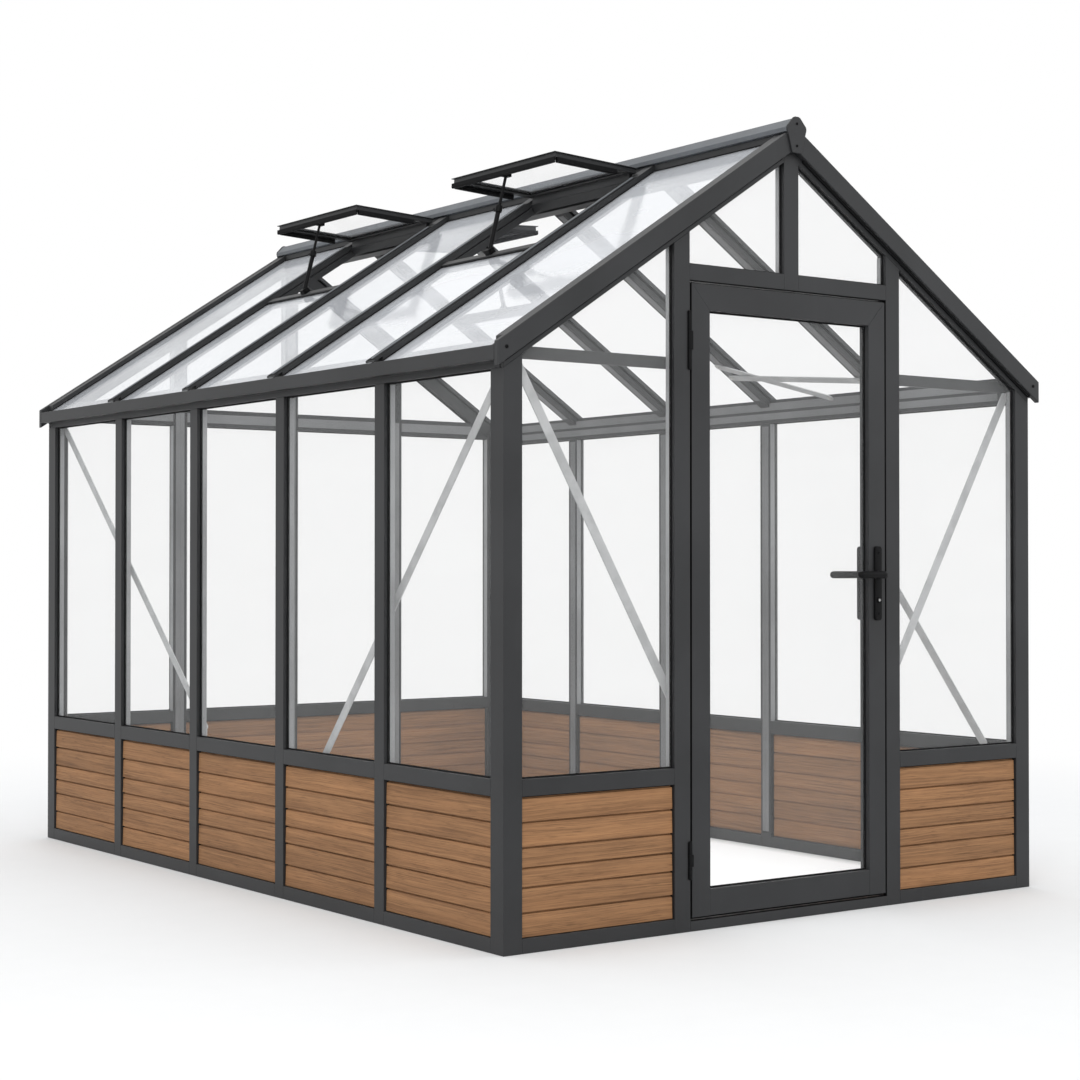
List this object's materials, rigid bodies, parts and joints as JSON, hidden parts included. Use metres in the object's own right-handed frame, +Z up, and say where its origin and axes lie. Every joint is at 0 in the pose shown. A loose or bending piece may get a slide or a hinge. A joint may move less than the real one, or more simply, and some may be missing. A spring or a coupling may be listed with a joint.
{
  "type": "greenhouse",
  "caption": "Free-standing glass greenhouse with a ridge roof, wood-clad lower walls, a hinged glazed door and propped roof vents.",
  "frame": {"origin": "on the ground, at the centre of the plan of the walls", "axes": "+Z up, +Y from the door gable to the back gable, +X to the right for somebody who faces the door"},
  "size_m": [2.226, 3.238, 2.455],
  "materials": {
    "frame": "satin anthracite powder coat",
    "glass": "clear toughened glass",
    "wood": "oiled cladding boards",
    "brace": "mill finish",
    "ironwork": "satin black"
  },
  "bodies": {
    "house": {"base_front": "frame", "threshold": "frame", "base_sides": "frame", "base_back": "frame", "corner_posts": "frame", "posts_left": "frame", "posts_right": "frame", "posts_back": "frame", "door_posts": "frame", "sill_front": "frame", "sill_sides": "frame", "sill_back": "frame", "rail_back": "frame", "lintels": "frame", "king_post_front": "frame", "gable_rafters": "frame", "barge_boards": "frame", "eaves_beams": "frame", "ridge_beam": "frame", "ridge_cap": "frame", "ridge_ends": "frame", "roof_bars_left": "frame", "roof_bars_right": "frame", "vent_sills": "frame", "vent_frames": "frame", "vent_glass": "glass", "vent_stays": "ironwork", "glass_left": "glass", "glass_right": "glass", "glass_front": "glass", "glass_back": "glass", "glass_roof_left": "glass", "glass_roof_right": "glass", "cladding_sides": "wood", "cladding_front": "wood", "cladding_back": "wood", "braces": "brace", "tie_bars": "frame", "hinge_leaves": "ironwork"},
    "door": {"door_stiles": "frame", "door_rails": "frame", "door_glass": "glass", "hinge_knuckles": "ironwork", "handle_plates": "ironwork"},
    "lever": {"lever": "ironwork"}
  },
  "joints": [
    {"name": "door_hinge", "type": "hinge", "parent": "house", "child": "door", "pos_m": [-0.41, -1.581, 0], "axis": [0, 0, -1], "range_deg": [0, 120]},
    {"name": "lever_turn", "type": "hinge", "parent": "door", "child": "lever", "pos_m": [0.366, -1.559, 1.05], "axis": [0, -1, 0], "range_deg": [0, 40], "stiffness_Nm_per_rad": 1.5, "springref_deg": -20.05}
  ]
}
